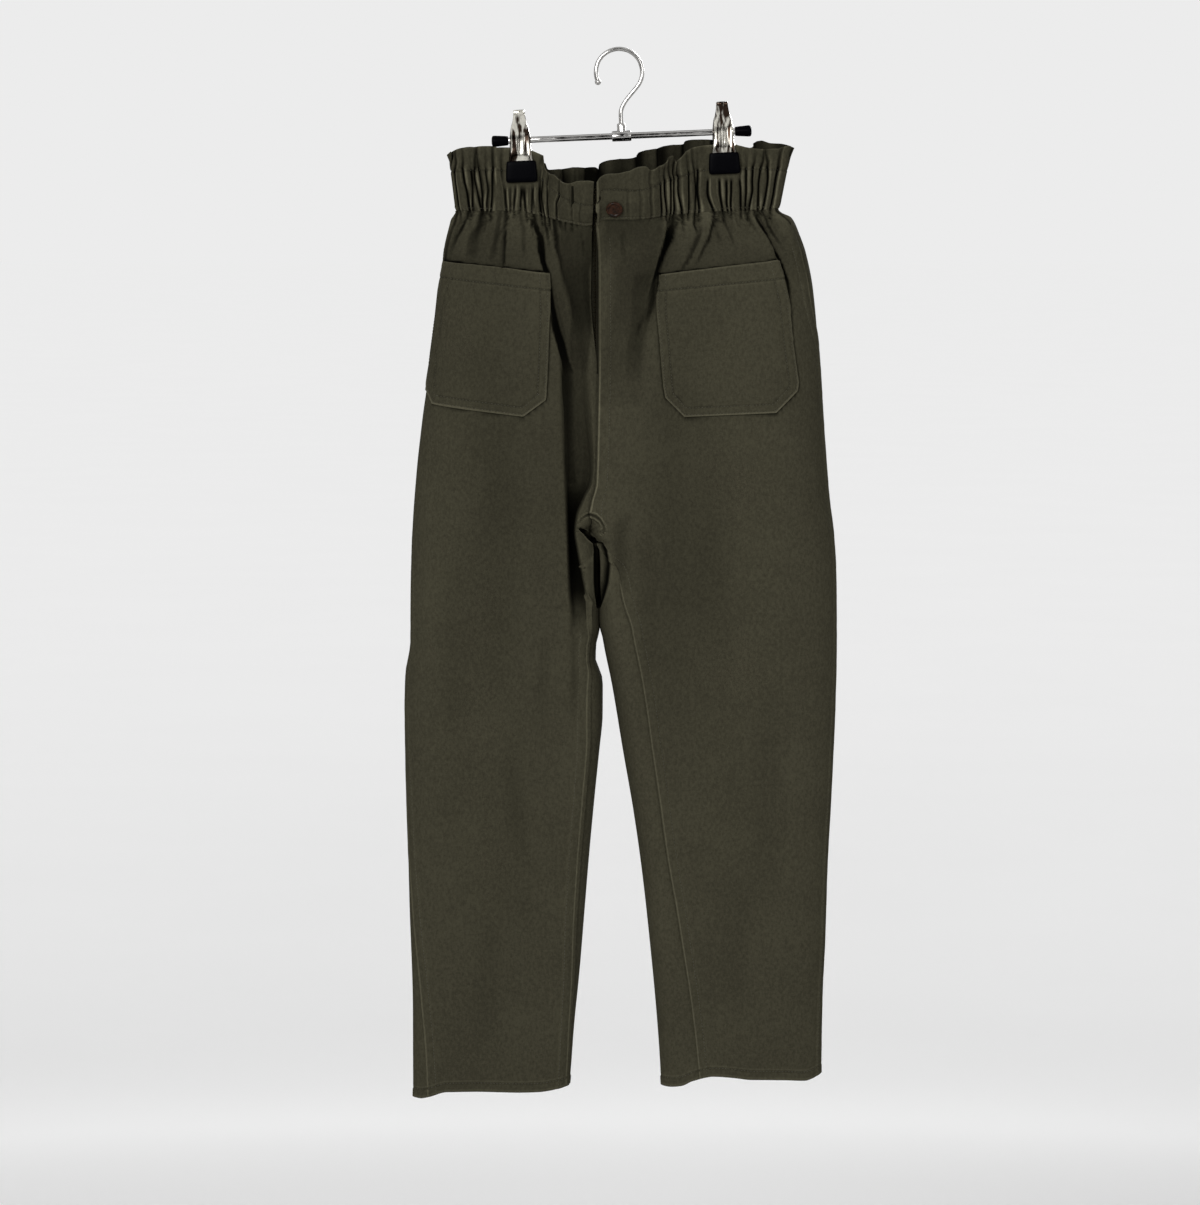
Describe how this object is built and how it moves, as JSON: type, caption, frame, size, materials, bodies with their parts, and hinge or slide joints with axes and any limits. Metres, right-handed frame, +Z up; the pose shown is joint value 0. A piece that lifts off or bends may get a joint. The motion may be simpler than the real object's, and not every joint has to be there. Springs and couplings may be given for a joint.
{
  "type": "paperbag-waist trousers on a clip hanger",
  "caption": "Dark twill trousers with a frilled elastic waist, buttoned fly, patch pockets and tapered legs, hanging from a sprung-clip hanger.",
  "frame": {"origin": "inside top of the hanger's hook, where it rests on a rail", "axes": "+Z up; +X to the wearer's left, along the hanger's bar; the front of the trousers faces -Y"},
  "size_m": [0.4084, 0.095, 0.9989],
  "materials": {
    "cloth": "matt cotton twill with a soft brushed face",
    "button": "dark horn-look resin, satin",
    "chrome": "bright plated steel",
    "vinyl": "black dipped vinyl, satin"
  },
  "bodies": {
    "root": {"leg_front_left": "cloth", "leg_front_right": "cloth", "leg_back_left": "cloth", "leg_back_right": "cloth", "waistband_front_left": "cloth", "waistband_front_right": "cloth", "waistband_back": "cloth", "fly_shield": "cloth", "pocket_left": "cloth", "pocket_right": "cloth", "button": "button", "hanger_bar": "chrome", "bar_cap_left": "vinyl", "bar_cap_right": "vinyl", "hanger_hub": "chrome", "hanger_hook": "chrome", "clip_right_spring": "chrome", "clip_right_front_jaw": "chrome", "clip_right_front_pad": "vinyl", "clip_right_back_jaw": "chrome", "clip_right_back_pad": "vinyl", "clip_left_spring": "chrome", "clip_left_front_jaw": "chrome", "clip_left_front_pad": "vinyl", "clip_left_back_jaw": "chrome", "clip_left_back_pad": "vinyl"}
  },
  "joints": []
}
